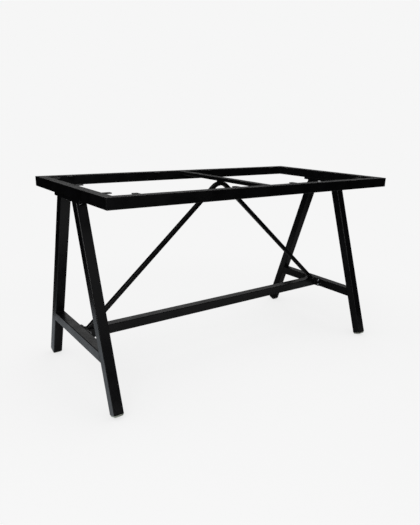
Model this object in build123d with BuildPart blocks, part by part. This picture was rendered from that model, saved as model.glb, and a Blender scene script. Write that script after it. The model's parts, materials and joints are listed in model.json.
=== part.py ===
from build123d import *
from math import asin, atan2, cos, hypot, radians, sin, tan
import os

os.makedirs("parts", exist_ok=True)

# Overall size. X runs along the table, Y across it, Z up, origin on the floor under the middle.
frame_length = 1780.0
frame_depth = 900.0
height = 1013.0

# Square tube of the top frame, the trestles and the stretcher
tube = 50.8
tube_wall = 2.0
tube_corner = 3.5
frame_corner_radius = 3.0

# Flat tube across the middle of the top frame
crossbar_width = 40.0
crossbar_height = 20.0
crossbar_wall = 2.0
crossbar_corner = 3.0

# Lugs inside the top frame that the tabletop is screwed to
tab_width = 28.0
tab_reach = 34.0
tab_thickness = 4.0
tab_end_radius = 5.0
tab_hole_diameter = 7.0
tab_hole_inset = 19.0
long_tab_inner_x = 190.0
long_tab_outer_inset = 165.0
end_tab_inset = 139.0

# Trestles: two splayed legs under a top plate, tied by a cross rail
leg_spread_top = 193.0
leg_spread_floor = 830.0
top_plate_length = 320.0
top_plate_thickness = 12.0
top_plate_radius = 4.0
top_bolt_outer_y = 138.0
top_bolt_inner_y = 29.0
top_bolt_offset = 10.0
cross_rail_clearance = 238.0

# Stretcher and the plates at its ends
end_plate_width = 124.0
end_plate_height = 55.0
end_plate_thickness = 6.0
end_plate_radius = 6.0
end_bolt_y = 52.5
end_bolt_rise = 15.5

# Bent brace of small square tube, with the pad that carries its crown
brace_tube = 22.2
brace_wall = 2.0
brace_corner = 2.5
brace_bend_radius = 67.0
brace_toe_gap = 2.0
pad_length = 30.0
pad_thickness = 3.5

# Glides pressed into the open ends of the legs, which are cut square to the leg
glide_head = 9.5
glide_rim_inset = 0.4
glide_edge_radius = 8.0
glide_corner_radius = 9.0
glide_plug_length = 22.0
glide_core_inset = 2.5
glide_rib_count = 3
glide_rib_thickness = 1.6
glide_rib_pitch = 6.0
glide_fit_clearance = 0.1

# M8 bolts, washers and countersunk rivet nuts
bolt_diameter = 8.0
bolt_length = 25.0
bolt_flats = 13.0
bolt_head_height = 5.3
bolt_head_bevel = 0.6
bolt_bevel_angle = radians(30)
bolt_tip_chamfer = 0.8
bolt_hole_clearance = 0.5
washer_outer_diameter = 16.0
washer_thickness = 1.6
washer_bore_clearance = 0.2
nut_body_diameter = 11.0
nut_rim_diameter = 12.4
nut_sink_angle = 90.0
nut_length = 18.0
nut_collar_diameter = 12.6
nut_collar_length = 3.5
nut_thread_clearance = 0.05
nut_hole_clearance = 0.05

# Levels and centrelines that follow from the sizes above
half_tube = tube / 2
half_length = frame_length / 2
half_depth = frame_depth / 2
frame_underside = height - tube
rail_centre_z = height - half_tube
plate_underside = frame_underside - top_plate_thickness
trestle_x = half_length - half_tube
cross_rail_centre_z = cross_rail_clearance + half_tube
stretcher_top = cross_rail_clearance + tube
end_plate_seat_x = trestle_x - half_tube
end_plate_face_x = end_plate_seat_x - end_plate_thickness

# Each leg's centreline leans outwards by leg_lean millimetres for each millimetre down
leg_lean = (leg_spread_floor - leg_spread_top) / 2 / plate_underside
leg_angle = atan2(leg_lean, 1)
half_tube_level = half_tube / cos(leg_angle)

# Middle of a leg's lower end: the rounded inner edge of the glide's head just reaches the floor
glide_half_flat = half_tube - glide_rim_inset - glide_edge_radius
leg_foot_z = (
    (glide_head - glide_edge_radius) * cos(leg_angle) + glide_half_flat * sin(leg_angle) + glide_edge_radius
)


def leg_y(z):
    """Distance of a leg's centreline from the middle plane at height z."""
    return leg_spread_floor / 2 - leg_lean * z


def draw_tube_section(width, depth, wall, corner):
    """Hollow section with rounded corners, in the sketch that is open."""
    RectangleRounded(width, depth, corner)
    RectangleRounded(width - 2 * wall, depth - 2 * wall, corner - wall, mode=Mode.SUBTRACT)


def finish(piece, name):
    """Name a finished piece and write it out."""
    piece.part.label = name
    export_step(piece.part, f"parts/{name}.step")


# Holes for the rivet nuts, and the bolt places on the trestles and on the stretcher's end plates
nut_hole_radius = nut_body_diameter / 2 + nut_hole_clearance
nut_sink_radius = nut_rim_diameter / 2 + nut_hole_clearance
bolt_hole_radius = bolt_diameter / 2 + bolt_hole_clearance
top_bolt_places = [-top_bolt_outer_y, -top_bolt_inner_y, top_bolt_inner_y, top_bolt_outer_y]
end_bolt_places = [
    (side * end_bolt_y, level * end_bolt_rise) for side in (-1, 1) for level in (-1, 1)
]


# Top frame: four rails with mitred corners, the welded outer edges ground to a small radius
def mitre(corner_x, corner_y, keep_x, keep_y):
    """Plane through a frame corner, whose positive side holds the rail that is kept."""
    normal = (keep_x, keep_y, 0)
    return Plane(origin=(corner_x, corner_y, rail_centre_z), x_dir=(0, 0, 1), z_dir=normal)


with BuildPart() as frame_outline:
    with BuildSketch(Plane.XY.offset(frame_underside)):
        RectangleRounded(frame_length, frame_depth, frame_corner_radius)
    extrude(amount=tube)

for side, name in ((-1, "front_rail"), (1, "back_rail")):
    section_plane = Plane(
        origin=(0, side * (half_depth - half_tube), rail_centre_z), x_dir=(0, 1, 0), z_dir=(1, 0, 0)
    )
    with BuildPart() as rail:
        with BuildSketch(section_plane):
            draw_tube_section(tube, tube, tube_wall, tube_corner)
        extrude(amount=half_length, both=True)
        split(bisect_by=mitre(-half_length, side * half_depth, 1, side))
        split(bisect_by=mitre(half_length, side * half_depth, -1, side))
        add(frame_outline.part, mode=Mode.INTERSECT)
    finish(rail, name)

for side, name in ((-1, "left_end_rail"), (1, "right_end_rail")):
    section_plane = Plane(
        origin=(side * trestle_x, 0, rail_centre_z), x_dir=(1, 0, 0), z_dir=(0, 1, 0)
    )
    underside_plane = Plane(
        origin=(side * trestle_x, 0, frame_underside), x_dir=(0, 1, 0), z_dir=(0, 0, -1)
    )
    with BuildPart() as rail:
        with BuildSketch(section_plane):
            draw_tube_section(tube, tube, tube_wall, tube_corner)
        extrude(amount=half_depth, both=True)
        split(bisect_by=mitre(side * half_length, -half_depth, side, 1))
        split(bisect_by=mitre(side * half_length, half_depth, side, -1))
        add(frame_outline.part, mode=Mode.INTERSECT)
        with Locations(underside_plane):
            with Locations(*[(place, side * top_bolt_offset) for place in top_bolt_places]):
                CounterSinkHole(nut_hole_radius, nut_sink_radius, tube_wall, nut_sink_angle)
    finish(rail, name)

crossbar_span = frame_depth - 2 * tube
with BuildPart() as crossbar:
    with BuildSketch(Plane.XZ.offset(-crossbar_span / 2)):
        with Locations((0, height - crossbar_height / 2)):
            draw_tube_section(crossbar_width, crossbar_height, crossbar_wall, crossbar_corner)
    extrude(amount=crossbar_span)
finish(crossbar, "centre_crossbar")


# Fixing tabs, each drawn with its root on the rail's inner face and reaching into the frame
def make_tab(root_x, root_y, reach_x, reach_y, name):
    root_plane = Plane(
        origin=(root_x, root_y, height), x_dir=(reach_x, reach_y, 0), z_dir=(0, 0, 1)
    )
    with BuildPart() as tab:
        with BuildSketch(root_plane):
            Rectangle(tab_reach, tab_width, align=(Align.MIN, Align.CENTER))
        extrude(amount=-tab_thickness)
        free_edges = tab.edges().filter_by(Axis.Z).sort_by(Axis(root_plane.origin, root_plane.x_dir))[-2:]
        fillet(free_edges, tab_end_radius)
        with Locations(root_plane):
            with Locations((tab_hole_inset, 0)):
                Hole(tab_hole_diameter / 2)
    finish(tab, name)


rail_face_x = half_length - tube
rail_face_y = half_depth - tube
long_tab_outer_x = half_length - long_tab_outer_inset
end_tab_y = half_depth - end_tab_inset
long_tab_places = [-long_tab_outer_x, -long_tab_inner_x, long_tab_inner_x, long_tab_outer_x]
for number, x in enumerate(long_tab_places, start=1):
    make_tab(x, -rail_face_y, 0, 1, f"front_tab_{number}")
    make_tab(x, rail_face_y, 0, -1, f"back_tab_{number}")
for number, y in enumerate([-end_tab_y, 0, end_tab_y], start=1):
    make_tab(-rail_face_x, y, 1, 0, f"left_tab_{number}")
    make_tab(rail_face_x, y, -1, 0, f"right_tab_{number}")


# Trestles. A leg and its glide are drawn from the leg's lower end, on a plane square to its lean.
def foot_plane_at(x, side):
    """Plane of a leg's lower end, facing up the leg."""
    centre = (x, side * leg_y(leg_foot_z), leg_foot_z)
    return Plane(origin=centre, x_dir=(1, 0, 0), z_dir=(0, -side * leg_lean, 1))


leg_blank_length = plate_underside / cos(leg_angle) + tube


def make_leg(x, side, name):
    """Leg leaning outwards on one side of the middle plane, its top cut level under the plate."""
    with BuildPart() as leg:
        with BuildSketch(foot_plane_at(x, side)):
            draw_tube_section(tube, tube, tube_wall, tube_corner)
        extrude(amount=leg_blank_length)
        split(bisect_by=Plane.XY.offset(plate_underside), keep=Keep.BOTTOM)
    finish(leg, name)


def make_cross_rail(x, inward, name):
    """Rail between the legs, its ends cut to the legs' lean, drilled on the stretcher's side."""
    section_plane = Plane(origin=(x, 0, cross_rail_centre_z), x_dir=(1, 0, 0), z_dir=(0, 1, 0))
    bolt_face = Plane(
        origin=(x + inward * half_tube, 0, cross_rail_centre_z), x_dir=(0, 1, 0), z_dir=(inward, 0, 0)
    )
    with BuildPart() as rail:
        with BuildSketch(section_plane):
            draw_tube_section(tube, tube, tube_wall, tube_corner)
        extrude(amount=half_depth, both=True)
        for side in (-1, 1):
            face_y = side * (leg_y(cross_rail_centre_z) - half_tube_level)
            leg_face = Plane(
                origin=(x, face_y, cross_rail_centre_z), x_dir=(1, 0, 0), z_dir=(0, -side, -leg_lean)
            )
            split(bisect_by=leg_face)
        with Locations(bolt_face):
            with Locations(*end_bolt_places):
                CounterSinkHole(nut_hole_radius, nut_sink_radius, tube_wall, nut_sink_angle)
    finish(rail, name)


def make_top_plate(x, outward, name):
    """Plate on top of the legs, bolted up to the end rail."""
    with BuildPart() as plate:
        with BuildSketch(Plane.XY.offset(plate_underside)):
            with Locations((x, 0)):
                RectangleRounded(tube, top_plate_length, top_plate_radius)
            with Locations(*[(x + outward * top_bolt_offset, place) for place in top_bolt_places]):
                Circle(bolt_hole_radius, mode=Mode.SUBTRACT)
        extrude(amount=top_plate_thickness)
    finish(plate, name)


def make_glide(x, side, name):
    """Moulded glide: a rounded head under the leg and a ribbed plug up inside it."""
    bore = tube - 2 * tube_wall
    core = bore - 2 * glide_core_inset
    rib = bore - 2 * glide_fit_clearance
    rib_radius = tube_corner - tube_wall
    seat = foot_plane_at(x, side)
    with BuildPart() as glide:
        with BuildSketch(seat):
            RectangleRounded(core, core, rib_radius)
        extrude(amount=glide_plug_length)
        for step in range(glide_rib_count):
            with BuildSketch(seat.offset(glide_rib_pitch * (step + 1))):
                RectangleRounded(rib, rib, rib_radius)
            extrude(amount=-glide_rib_thickness)
        with BuildSketch(seat):
            head_width = tube - 2 * glide_rim_inset
            RectangleRounded(head_width, head_width, glide_corner_radius)
        extrude(amount=-glide_head)
        sole_edges = glide.faces().sort_by(Axis(seat.origin, seat.z_dir))[0].edges()
        fillet(sole_edges, glide_edge_radius)
    finish(glide, name)


for end, end_name in ((-1, "left"), (1, "right")):
    for side, side_name in ((-1, "front"), (1, "back")):
        make_leg(end * trestle_x, side, f"{end_name}_{side_name}_leg")
        make_glide(end * trestle_x, side, f"{end_name}_{side_name}_glide")
    make_cross_rail(end * trestle_x, -end, f"{end_name}_cross_rail")
    make_top_plate(end * trestle_x, end, f"{end_name}_top_plate")


# Stretcher with an end plate at each end, flush with its underside and a little higher than its top
stretcher_plane = Plane(origin=(0, 0, cross_rail_centre_z), x_dir=(0, 1, 0), z_dir=(1, 0, 0))
with BuildPart() as stretcher:
    with BuildSketch(stretcher_plane):
        draw_tube_section(tube, tube, tube_wall, tube_corner)
    extrude(amount=end_plate_face_x, both=True)
finish(stretcher, "stretcher")

for end, name in ((-1, "left_end_plate"), (1, "right_end_plate")):
    plate_plane = Plane(
        origin=(end * end_plate_face_x, 0, cross_rail_centre_z), x_dir=(0, 1, 0), z_dir=(end, 0, 0)
    )
    with BuildPart() as plate:
        with BuildSketch(plate_plane):
            with Locations((0, end_plate_height / 2 - half_tube)):
                RectangleRounded(end_plate_width, end_plate_height, end_plate_radius)
            with Locations(*end_bolt_places):
                Circle(bolt_hole_radius, mode=Mode.SUBTRACT)
        extrude(amount=end_plate_thickness)
    finish(plate, name)


# Brace. Its outer side runs straight from the toe on the stretcher to the outer arc of the bend,
# so the slope follows from the tangent between that point and that circle.
half_brace = brace_tube / 2
crown_z = height - crossbar_height - pad_thickness
bend_centre_z = crown_z - half_brace - brace_bend_radius
toe_x = end_plate_face_x - brace_toe_gap
rise_to_bend = bend_centre_z - stretcher_top
slope = atan2(rise_to_bend, toe_x) + asin((brace_bend_radius + half_brace) / hypot(toe_x, rise_to_bend))
bend_end_x = brace_bend_radius * sin(slope)
bend_end_z = bend_centre_z + brace_bend_radius * cos(slope)
foot_z = stretcher_top - brace_tube
foot_x = bend_end_x + (bend_end_z - foot_z) / tan(slope)
foot_plane = Plane(origin=(-foot_x, 0, foot_z), x_dir=(0, 1, 0), z_dir=(cos(slope), 0, sin(slope)))

with BuildPart() as brace:
    with BuildLine():
        left_side = Line((-foot_x, 0, foot_z), (-bend_end_x, 0, bend_end_z))
        bend = ThreePointArc(
            left_side @ 1, (0, 0, bend_centre_z + brace_bend_radius), (bend_end_x, 0, bend_end_z)
        )
        Line(bend @ 1, (foot_x, 0, foot_z))
    with BuildSketch(foot_plane):
        draw_tube_section(brace_tube, brace_tube, brace_wall, brace_corner)
    sweep()
    split(bisect_by=Plane.XY.offset(stretcher_top), keep=Keep.TOP)
finish(brace, "brace")

# Pad between the crown of the bend and the crossbar, hollowed underneath to the bend
with BuildPart() as pad:
    with BuildSketch(Plane.XZ.offset(-half_brace)):
        with Locations((0, height - crossbar_height)):
            Rectangle(pad_length, 2 * pad_thickness, align=(Align.CENTER, Align.MAX))
        with Locations((0, bend_centre_z)):
            Circle(brace_bend_radius + half_brace, mode=Mode.SUBTRACT)
    extrude(amount=brace_tube)
finish(pad, "brace_pad")


# Bolt and rivet nut seats: planes whose normals point away from the metal they fasten
bolt_seats = []
nut_seats = []
for end in (-1, 1):
    for place in top_bolt_places:
        centre = (end * (trestle_x + top_bolt_offset), place, plate_underside)
        seat = Plane(origin=centre, x_dir=(0, 1, 0), z_dir=(0, 0, -1))
        bolt_seats.append(seat)
        nut_seats.append(seat.offset(-top_plate_thickness))
    for place_y, place_z in end_bolt_places:
        centre = (end * end_plate_face_x, place_y, cross_rail_centre_z + place_z)
        seat = Plane(origin=centre, x_dir=(0, 1, 0), z_dir=(-end, 0, 0))
        bolt_seats.append(seat)
        nut_seats.append(seat.offset(-end_plate_thickness))

# Bolt, drawn head up on the washer's level, with the head's corners bevelled to a cone
bevel_radius = bolt_flats / 2 - bolt_head_bevel / 2
with BuildPart() as bolt:
    with BuildSketch(Plane.XY.offset(washer_thickness)):
        RegularPolygon(bolt_flats / 2, 6, major_radius=False)
    extrude(amount=bolt_head_height)
    with Locations((0, 0, washer_thickness)):
        Cone(
            bevel_radius + bolt_head_height / tan(bolt_bevel_angle),
            bevel_radius,
            bolt_head_height,
            align=(Align.CENTER, Align.CENTER, Align.MIN),
            mode=Mode.INTERSECT,
        )
    with BuildSketch(Plane.XY.offset(washer_thickness)):
        Circle(bolt_diameter / 2)
    extrude(amount=-bolt_length)
    tip = bolt.faces().sort_by(Axis.Z)[0]
    chamfer(tip.edges(), bolt_tip_chamfer)

with BuildPart() as washer:
    with BuildSketch():
        Circle(washer_outer_diameter / 2)
        Circle(bolt_diameter / 2 + washer_bore_clearance, mode=Mode.SUBTRACT)
    extrude(amount=washer_thickness)

# Rivet nut: sunk rim flush with the tube wall, upset collar behind it, threaded barrel
rim_radius = nut_rim_diameter / 2
barrel_radius = nut_body_diameter / 2
rim_depth = (rim_radius - barrel_radius) / tan(radians(nut_sink_angle / 2))
thread_radius = bolt_diameter / 2 + nut_thread_clearance
with BuildPart() as rivet_nut:
    with BuildSketch(Plane.XZ):
        with BuildLine():
            Polyline(
                (thread_radius, 0),
                (rim_radius, 0),
                (barrel_radius, -rim_depth),
                (barrel_radius, -tube_wall),
                (nut_collar_diameter / 2, -tube_wall),
                (nut_collar_diameter / 2, -tube_wall - nut_collar_length),
                (barrel_radius, -tube_wall - nut_collar_length),
                (barrel_radius, -nut_length),
                (thread_radius, -nut_length),
                close=True,
            )
        make_face()
    revolve(axis=Axis.Z)


def place_group(piece, seats, name):
    """One node of equal fasteners, a separate solid on each seat."""
    with BuildPart() as group:
        with Locations(*seats):
            add(piece.part)
    finish(group, name)


place_group(bolt, bolt_seats, "hex_bolts")
place_group(washer, bolt_seats, "washers")
place_group(rivet_nut, nut_seats, "rivet_nuts")
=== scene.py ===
import json
import math
import random

import bpy
from mathutils import Matrix, Vector


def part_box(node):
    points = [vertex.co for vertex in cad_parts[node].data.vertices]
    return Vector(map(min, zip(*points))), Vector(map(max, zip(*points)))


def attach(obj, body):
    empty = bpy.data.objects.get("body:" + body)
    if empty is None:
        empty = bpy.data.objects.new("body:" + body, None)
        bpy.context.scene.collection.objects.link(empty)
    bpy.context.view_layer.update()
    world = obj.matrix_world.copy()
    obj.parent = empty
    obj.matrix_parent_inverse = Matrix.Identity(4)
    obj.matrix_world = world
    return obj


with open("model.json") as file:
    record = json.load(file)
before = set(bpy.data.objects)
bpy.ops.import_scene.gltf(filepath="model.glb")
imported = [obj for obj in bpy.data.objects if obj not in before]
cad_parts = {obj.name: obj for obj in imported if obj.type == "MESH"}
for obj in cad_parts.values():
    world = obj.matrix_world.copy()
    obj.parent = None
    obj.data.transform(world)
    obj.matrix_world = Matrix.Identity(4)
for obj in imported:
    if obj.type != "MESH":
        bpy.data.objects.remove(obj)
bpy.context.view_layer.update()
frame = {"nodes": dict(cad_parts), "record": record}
bpy.ops.object.select_all(action="DESELECT")
print("frame loaded with", len(frame["nodes"]), "nodes")

ends = (-1, 1)      # left and right along X
sides = (-1, 1)     # front and back along Y
endNames = {-1: "left", 1: "right"}
sideNames = {-1: "front", 1: "back"}


# Colours and nodes
def linearColor(hexText):
    channels = [int(hexText[start:start + 2], 16) / 255 for start in (1, 3, 5)]
    return [c / 12.92 if c <= 0.04045 else ((c + 0.055) / 1.055) ** 2.4 for c in channels] + [1.0]


def addNode(tree, kind, settings=None, links=None):
    node = tree.nodes.new(kind)
    for key, value in (settings or {}).items():
        if isinstance(key, int) or key in node.inputs:
            node.inputs[key].default_value = value
        else:
            setattr(node, key, value)
    for key, source in (links or {}).items():
        tree.links.new(source, node.inputs[key])
    return node


def startMaterial(name):
    material = bpy.data.materials.new(name)
    material.use_nodes = True
    material.node_tree.nodes.clear()
    return material, material.node_tree


def finishMaterial(tree, shader):
    addNode(tree, "ShaderNodeOutputMaterial", links={"Surface": shader.outputs[0]})


mmPerMetre = 1000
noiseSpan = (0.3, 0.7)          # a noise's values lie mostly between these


# All three finishes vary alike: two close tones and the gloss follow broad patches, over a fine raised grain
def makeFinish(name, look):
    material, tree = startMaterial(name)
    place = addNode(tree, "ShaderNodeTexCoord").outputs["Object"]
    patches = addNode(
        tree, "ShaderNodeTexNoise",
        {"Scale": mmPerMetre / look["patchMm"], "Detail": look["patchDetail"]}, {"Vector": place},
    )
    grain = addNode(
        tree, "ShaderNodeTexNoise",
        {"Scale": mmPerMetre / look["grainMm"], "Roughness": look["grainRoughness"]}, {"Vector": place},
    )
    color = addNode(
        tree, "ShaderNodeMix",
        {"data_type": "RGBA", 6: linearColor(look["deepColor"]), 7: linearColor(look["paleColor"])},
        {0: patches.outputs["Fac"]},
    )
    gloss = addNode(
        tree, "ShaderNodeMapRange",
        {"From Min": noiseSpan[0], "From Max": noiseSpan[1],
         "To Min": look["gloss"][0], "To Max": look["gloss"][1]},
        {"Value": patches.outputs["Fac"]},
    )
    skin = addNode(
        tree, "ShaderNodeBump",
        {"Strength": 1.0, "Distance": look["grainDepthMm"] / mmPerMetre}, {"Height": grain.outputs["Fac"]},
    )
    shader = addNode(
        tree, "ShaderNodeBsdfPrincipled", look["body"],
        {"Base Color": color.outputs[2], "Roughness": gloss.outputs[0], "Normal": skin.outputs[0]},
    )
    finishMaterial(tree, shader)
    return material


# Steel, powder-coated: satin black with a fine pebbled skin, a little uneven in gloss from the oven
powderCoat = {
    "deepColor": "#0b0b0c",
    "paleColor": "#131315",
    "body": {"IOR": 1.5},
    "gloss": (0.26, 0.36),      # roughness from and to
    "patchMm": 70.0,            # patches where the powder lies thicker
    "patchDetail": 3.0,
    "grainMm": 1.8,             # real pebbles are about 0.6 mm, drawn coarser so that they show
    "grainRoughness": 0.55,
    "grainDepthMm": 0.02,
}

# Steel, zinc-plated: bright cool grey metal, faintly mottled where the plating took unevenly
zincPlate = {
    "deepColor": "#aeb3b7",
    "paleColor": "#d7dadc",
    "body": {"Metallic": 1.0},
    "gloss": (0.22, 0.38),
    "patchMm": 2.5,             # the plating's mottle
    "patchDetail": 3.0,
    "grainMm": 0.5,             # marks left by turning and pressing
    "grainRoughness": 0.5,
    "grainDepthMm": 0.02,
}

# Nylon, injection moulded: grey-green, soft sheen, the fine grain of a spark-eroded mould
nylon = {
    "deepColor": "#a6ada1",
    "paleColor": "#b3b9ad",
    "body": {"IOR": 1.53},
    "gloss": (0.42, 0.55),
    "patchMm": 9.0,             # scuffs
    "patchDetail": 4.0,
    "grainMm": 1.2,             # real grain is about 0.3 mm, drawn coarser so that it shows
    "grainRoughness": 0.5,
    "grainDepthMm": 0.03,
}

finishes = {
    "coated_steel": makeFinish("powderCoatedSteel", powderCoat),
    "zinc_plate": makeFinish("zincPlatedSteel", zincPlate),
    "glide_nylon": makeFinish("mouldedNylon", nylon),
}
for subpart in frame["record"]["subparts"]:
    for materialSlot in frame["nodes"][subpart["node"]].material_slots:
        materialSlot.material = finishes[subpart["material_slot"]]


# Weld beads: a row of overlapping ripples along each joint, coated with the rest of the steel
weld = {
    "radius": 0.0038,
    "flatness": 0.85,           # height of the bead against its width
    "ripplePitch": 0.0026,
    "rippleDepth": 0.13,
    "crestAt": 0.4,             # share of a ripple before its crest, the steep front
    "endSize": 0.5,             # each end of a bead against its full size
    "fewestRipples": 3,
    "unevenness": 0.05,
    "ringPoints": 12,
    "cornerInset": 0.0045,      # beads stop short of the tubes' rounded corners
    "crossbarScale": 0.7,       # smaller beads on the thinner pieces
    "tabScale": 0.75,
    "braceScale": 0.75,
    "padLean": 0.2,             # how far the beads at the pad's foot face down
    "seed": 11,
}
beadShapes = {}                 # one mesh for each length of bead


def growRing(x, advance, factor):
    bpy.ops.mesh.extrude_region_move(TRANSFORM_OT_translate={"value": (advance, 0, 0)})
    bpy.ops.transform.resize(value=(1, factor, factor), center_override=(x + advance, 0, 0))
    return x + advance


def modelBead(length):
    micrometres = round(length * 1e6)
    chance = random.Random(weld["seed"] + micrometres)
    ripples = max(weld["fewestRipples"], round(length / weld["ripplePitch"]))
    pitch = length / ripples
    low = 1 - weld["rippleDepth"]
    size = low * weld["endSize"]
    bpy.ops.object.select_all(action="DESELECT")
    bpy.ops.mesh.primitive_circle_add(
        vertices=weld["ringPoints"], radius=weld["radius"] * size, fill_type="NGON",
        location=(-length / 2, 0, 0), rotation=(0, math.pi / 2, 0),
    )
    bead = bpy.context.object
    bpy.ops.object.transform_apply(location=True, rotation=True, scale=True)
    bpy.ops.object.mode_set(mode="EDIT")
    bpy.ops.mesh.select_all(action="SELECT")
    x = -length / 2
    for ripple in range(ripples):
        crest = 1 + chance.uniform(-weld["unevenness"], weld["unevenness"])
        x = growRing(x, pitch * weld["crestAt"], crest / size)
        x = growRing(x, pitch * (1 - weld["crestAt"]), low / crest)
        size = low
    bpy.ops.transform.resize(value=(1, weld["endSize"], weld["endSize"]), center_override=(x, 0, 0))
    bpy.ops.mesh.select_all(action="SELECT")
    bpy.ops.mesh.normals_make_consistent(inside=False)
    bpy.ops.transform.resize(value=(1, 1, weld["flatness"]), center_override=(0, 0, 0))
    bpy.ops.object.mode_set(mode="OBJECT")
    bpy.ops.object.shade_smooth()
    return bead


def beadMesh(length):
    key = round(length, 4)
    if key not in beadShapes:
        bead = modelBead(key)
        beadShapes[key] = bead.data
        bpy.data.objects.remove(bead)
    return beadShapes[key].copy()


def layWelds(name, seams, scale=1.0):
    bpy.ops.object.select_all(action="DESELECT")
    beads = []
    for start, end, outward in seams:
        start, end = Vector(start), Vector(end)
        along = (end - start).normalized()
        outward = Vector(outward)
        outward = (outward - along * outward.dot(along)).normalized()
        turn = Matrix((along, outward.cross(along), outward)).transposed().to_4x4()
        middle = Matrix.Translation((start + end) / 2)
        mesh = beadMesh((end - start).length)
        mesh.transform(middle @ turn @ Matrix.Diagonal((1, scale, scale, 1)))
        bead = bpy.data.objects.new(name, mesh)
        bpy.context.scene.collection.objects.link(bead)
        beads.append(bead)
    for bead in beads:
        bead.select_set(True)
    bpy.context.view_layer.objects.active = beads[0]
    bpy.ops.object.join()
    welds = bpy.context.object
    welds.name = name
    welds.data.name = name
    welds.data.materials.clear()
    welds.data.materials.append(finishes["coated_steel"])
    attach(welds, "root")
    print("laid", len(beads), "beads as", name)


def pointsAtLevel(node, z, reach=0.0003):
    return [v.co for v in frame["nodes"][node].data.vertices if abs(v.co.z - z) < reach]


inset = weld["cornerInset"]
smallInset = inset / 2          # on the thinner pieces
frontLow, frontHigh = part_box("front_rail")
innerX = -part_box("left_end_rail")[1].x
innerY = -frontHigh.y
topZ = frontHigh.z
undersideZ = frontLow.z


# Inside corners of the top frame
def layFrameCornerWelds():
    seams = []
    for end in ends:
        for side in sides:
            foot = (end * innerX, side * innerY, undersideZ + inset)
            head = (end * innerX, side * innerY, topZ - inset)
            seams.append((foot, head, (-end, -side, 0)))
    layWelds("frameCornerWelds", seams)


# Both ends of the centre crossbar, down its sides and under it
def layCrossbarWelds():
    low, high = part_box("centre_crossbar")
    seams = []
    for side in sides:
        y = side * innerY
        for end in ends:
            x = end * high.x
            seams.append(((x, y, low.z + smallInset), (x, y, high.z - smallInset), (end, -side, 0)))
        seams.append(((low.x + inset, y, low.z), (high.x - inset, y, low.z), (0, -side, -1)))
    layWelds("crossbarWelds", seams, weld["crossbarScale"])


# Under the root of each fixing tab
def layTabWelds():
    seams = []
    for name in sorted(frame["nodes"]):
        if "_tab_" not in name:
            continue
        low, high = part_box(name)
        z = low.z
        if name.startswith(("front", "back")):
            side = 1 if name.startswith("back") else -1
            y = side * innerY
            seams.append(((low.x + inset, y, z), (high.x - inset, y, z), (0, -side, -1)))
        else:
            end = 1 if name.startswith("right") else -1
            x = end * innerX
            seams.append(((x, low.y + inset, z), (x, high.y - inset, z), (-end, 0, -1)))
    layWelds("tabWelds", seams, weld["tabScale"])


# Each leg's head under its top plate, on the outer and inner side
def layLegHeadWelds():
    seams = []
    for end in ends:
        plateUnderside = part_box(endNames[end] + "_top_plate")[0].z
        for side in sides:
            leg = endNames[end] + "_" + sideNames[side] + "_leg"
            legLow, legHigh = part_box(leg)
            spread = [point.y for point in pointsAtLevel(leg, legHigh.z)]
            for y, away in ((min(spread), -1), (max(spread), 1)):
                start = (legLow.x + inset, y, plateUnderside)
                stop = (legHigh.x - inset, y, plateUnderside)
                seams.append((start, stop, (0, away, -1)))
    layWelds("legHeadWelds", seams)


# Ends of the cross rails on the legs, over and under the rail
def layCrossRailWelds():
    seams = []
    for end in ends:
        rail = endNames[end] + "_cross_rail"
        low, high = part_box(rail)
        for z, upward in ((low.z, -1), (high.z, 1)):
            for side in sides:
                y = side * max(side * point.y for point in pointsAtLevel(rail, z))
                seams.append(((low.x + inset, y, z), (high.x - inset, y, z), (0, -side, upward)))
    layWelds("crossRailWelds", seams)


# Ends of the stretcher on its end plates, over it and down both sides
def layStretcherWelds():
    low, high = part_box("stretcher")
    seams = []
    for end in ends:
        x = end * high.x
        seams.append(((x, low.y + inset, high.z), (x, high.y - inset, high.z), (-end, 0, 1)))
        for side in sides:
            y = side * high.y
            seams.append(((x, y, low.z + inset), (x, y, high.z - inset), (-end, side, 0)))
    layWelds("stretcherWelds", seams)


# Feet of the brace on the stretcher, and its pad under the crossbar
def layBraceWelds():
    low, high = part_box("brace")
    seams = []
    for end in ends:
        reach = [end * point.x for point in pointsAtLevel("brace", low.z) if end * point.x > 0]
        heel = end * min(reach)
        toe = end * max(reach)
        for side in sides:
            y = side * high.y
            seams.append(((heel, y, low.z), (toe - end * smallInset, y, low.z), (0, side, 1)))
        seams.append(((heel, low.y + smallInset, low.z), (heel, high.y - smallInset, low.z), (-end, 0, 1)))
    padLow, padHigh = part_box("brace_pad")
    for side in sides:
        y = side * padHigh.y
        for z, downward in ((padHigh.z, 1), (padLow.z, weld["padLean"])):
            seams.append(((padLow.x + inset, y, z), (padHigh.x - inset, y, z), (0, side, -downward)))
    layWelds("braceWelds", seams, weld["braceScale"])


layFrameCornerWelds()
layCrossbarWelds()
layTabWelds()
layLegHeadWelds()
layCrossRailWelds()
layStretcherWelds()
layBraceWelds()


# Floor and backdrop, pale and even to the camera, with only a trace of shadow
studio = {
    "paper": "#f6f6f6",
    "paperShade": 0.10,         # how much the paper answers to light and shade near the object
    "paperGlow": 0.971,         # its even part there, so that lit paper matches the backdrop
    "contactShade": 0.24,       # soft darkening of that part under the rails and at the feet
    "contactReach": 0.9,        # metres over which it fades
    "contactSamples": 16,
    "shadeReach": (1.3, 2.4),   # metres from the middle over which the shading fades out
    "floorGrey": "#a6a6a6",     # the floor as the steel sees it, close by and far off
    "farGrey": "#1c1c1c",
    "farReach": (1.2, 3.0),     # metres from the middle over which it darkens
    "roomGrey": "#5a5a5a",      # the walls as the steel sees them
    "roomStrength": 0.12,
    "floorSize": 60.0,
}


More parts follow.
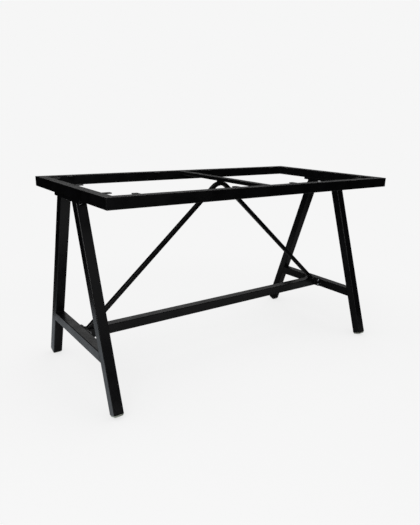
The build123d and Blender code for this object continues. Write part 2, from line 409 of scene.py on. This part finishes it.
def layFloor():
    bpy.ops.object.select_all(action="DESELECT")
    bpy.ops.mesh.primitive_plane_add(size=studio["floorSize"], location=(0, 0, 0))
    floor = bpy.context.object
    floor.name = "studioFloor"
    material, tree = startMaterial("studioPaper")
    seen = addNode(tree, "ShaderNodeLightPath").outputs["Is Camera Ray"]
    place = addNode(tree, "ShaderNodeTexCoord").outputs["Object"]
    away = addNode(tree, "ShaderNodeVectorMath", {"operation": "LENGTH"}, {0: place})
    near = addNode(
        tree, "ShaderNodeMapRange",
        {"interpolation_type": "SMOOTHSTEP",
         "From Min": studio["shadeReach"][0], "From Max": studio["shadeReach"][1],
         "To Min": 1.0, "To Max": 0.0},
        {"Value": away.outputs["Value"]},
    )
    even = addNode(tree, "ShaderNodeEmission", {"Color": linearColor(studio["paper"])})
    contact = addNode(
        tree, "ShaderNodeAmbientOcclusion",
        {"samples": studio["contactSamples"], "Distance": studio["contactReach"]},
    )
    strength = addNode(
        tree, "ShaderNodeMapRange",
        {"To Min": studio["paperGlow"] * (1 - studio["contactShade"]), "To Max": studio["paperGlow"]},
        {"Value": contact.outputs["AO"]},
    )
    glow = addNode(
        tree, "ShaderNodeEmission",
        {"Color": linearColor(studio["paper"])}, {"Strength": strength.outputs["Result"]},
    )
    shade = addNode(tree, "ShaderNodeBsdfDiffuse", {"Color": [studio["paperShade"]] * 3 + [1.0]})
    lit = addNode(tree, "ShaderNodeAddShader", links={0: glow.outputs[0], 1: shade.outputs[0]})
    look = addNode(
        tree, "ShaderNodeMixShader", links={0: near.outputs["Result"], 1: even.outputs[0], 2: lit.outputs[0]},
    )
    far = addNode(
        tree, "ShaderNodeMapRange",
        {"interpolation_type": "SMOOTHSTEP",
         "From Min": studio["farReach"][0], "From Max": studio["farReach"][1]},
        {"Value": away.outputs["Value"]},
    )
    grey = addNode(
        tree, "ShaderNodeMix",
        {"data_type": "RGBA", 6: linearColor(studio["floorGrey"]), 7: linearColor(studio["farGrey"])},
        {0: far.outputs["Result"]},
    )
    bounce = addNode(tree, "ShaderNodeBsdfDiffuse", links={"Color": grey.outputs[2]})
    paper = addNode(tree, "ShaderNodeMixShader", links={0: seen, 1: bounce.outputs[0], 2: look.outputs[0]})
    finishMaterial(tree, paper)
    floor.data.materials.append(material)


def lightRoom():
    world = bpy.data.worlds.new("studioRoom")
    bpy.context.scene.world = world
    world.use_nodes = True
    tree = world.node_tree
    tree.nodes.clear()
    seen = addNode(tree, "ShaderNodeLightPath").outputs["Is Camera Ray"]
    backdrop = addNode(tree, "ShaderNodeBackground", {"Color": linearColor(studio["paper"])})
    room = addNode(
        tree, "ShaderNodeBackground",
        {"Color": linearColor(studio["roomGrey"]), "Strength": studio["roomStrength"]},
    )
    mixed = addNode(tree, "ShaderNodeMixShader", links={0: seen, 1: room.outputs[0], 2: backdrop.outputs[0]})
    addNode(tree, "ShaderNodeOutputWorld", links={"Surface": mixed.outputs[0]})


# Soft panels, and cards lying on the floor, with what each does for the steel, which mirrors them faintly.
# Each has its place, what it faces, width, height, watts and tint
panels = {
    "backPanel": ((4.8, 6.2, 4.5), (0, 0, 0.9), 9.8, 2.8, 54, "#ffffff"),       # sheen on the rails' tops
    "topPanel": ((-1.6, 0.4, 3.4), (0, 0, 0.6), 3.0, 2.4, 4, "#ffffff"),         # a little from above
    "frontPanel": ((-3.0, -3.0, 2.6), (-0.9, -0.4, 0.4), 2.4, 2.4, 75, "#ffffff"),      # rounded corners
    "legPanel": ((0.3, -3.0, 1.75), (0.3, 0, 1.75), 1.2, 1.8, 1.5, "#ffffff"),  # near left leg's upper front
    "leftPanel": ((-4.2, 0, 1.1), (0, 0, 1.1), 2.4, 1.6, 2.4, "#ffffff"),       # sheen seen from either side
    "rightPanel": ((4.2, 0, 1.1), (0, 0, 1.1), 2.4, 1.6, 2.4, "#ffffff"),
    "leftCard": ((-1.10, 0.14, 0.01), (-1.10, 0.14, 1.0), 0.43, 1.60, 1.04, "#eef7ff"),     # outer left faces
    "frontCard": ((0.2, -0.69, 0.01), (0.2, -0.69, 1.0), 2.6, 0.54, 0.73, "#ffffff"),   # stretcher's side
    "backCard": ((0.7, 2.4, 0.01), (0.7, 2.4, 1.0), 2.6, 3.0, 3.5, "#ffffff"),     # far right leg's left face
    "rightCard": ((1.35, 0.0, 0.01), (1.35, 0.0, 1.0), 0.9, 2.0, 0.5, "#ffffff"),       # far right leg
}


def hangPanel(name, place, target, width, height, watts, tint):
    data = bpy.data.lights.new(name, "AREA")
    data.shape = "RECTANGLE"
    data.size = width
    data.size_y = height
    data.energy = watts
    data.color = linearColor(tint)[:3]
    panel = bpy.data.objects.new(name, data)
    bpy.context.scene.collection.objects.link(panel)
    panel.location = place
    panel.rotation_euler = (Vector(target) - Vector(place)).to_track_quat("-Z", "Y").to_euler()
    panel.visible_camera = False


layFloor()
lightRoom()
for name, setup in panels.items():
    hangPanel(name, *setup)
print("studio lit")


# Camera, from the photograph's own perspective
cameraView = {
    "place": (-1.67636, -2.23472, 1.29582),
    "yaw": 35.894,
    "pitch": 17.851,
    "roll": 1.251,
    "imageWidth": 420,
    "imageHeight": 525,
    "focalPixels": 489.115,
    "centrePixels": (209.369, 281.375),
    "sensorHeight": 36.0,
}


def placeCamera():
    yaw, pitch, roll = (math.radians(cameraView[key]) for key in ("yaw", "pitch", "roll"))
    ahead = Vector((math.sin(yaw) * math.cos(pitch), math.cos(yaw) * math.cos(pitch), -math.sin(pitch)))
    level = Vector((math.cos(yaw), -math.sin(yaw), 0))
    upright = level.cross(ahead)
    rightward = level * math.cos(roll) + upright * math.sin(roll)
    upward = upright * math.cos(roll) - level * math.sin(roll)
    data = bpy.data.cameras.new("photoCamera")
    data.sensor_fit = "VERTICAL"
    data.sensor_height = cameraView["sensorHeight"]
    data.lens = cameraView["focalPixels"] * cameraView["sensorHeight"] / cameraView["imageHeight"]
    centreX, centreY = cameraView["centrePixels"]
    data.shift_x = (cameraView["imageWidth"] / 2 - centreX) / cameraView["imageHeight"]
    data.shift_y = (centreY - cameraView["imageHeight"] / 2) / cameraView["imageHeight"]
    camera = bpy.data.objects.new("photoCamera", data)
    bpy.context.scene.collection.objects.link(camera)
    pose = Matrix((rightward, upward, -ahead)).transposed().to_4x4()
    pose.translation = cameraView["place"]
    camera.matrix_world = pose
    bpy.context.scene.camera = camera


placeCamera()
bpy.context.scene.view_settings.view_transform = "Standard"
print("camera placed")
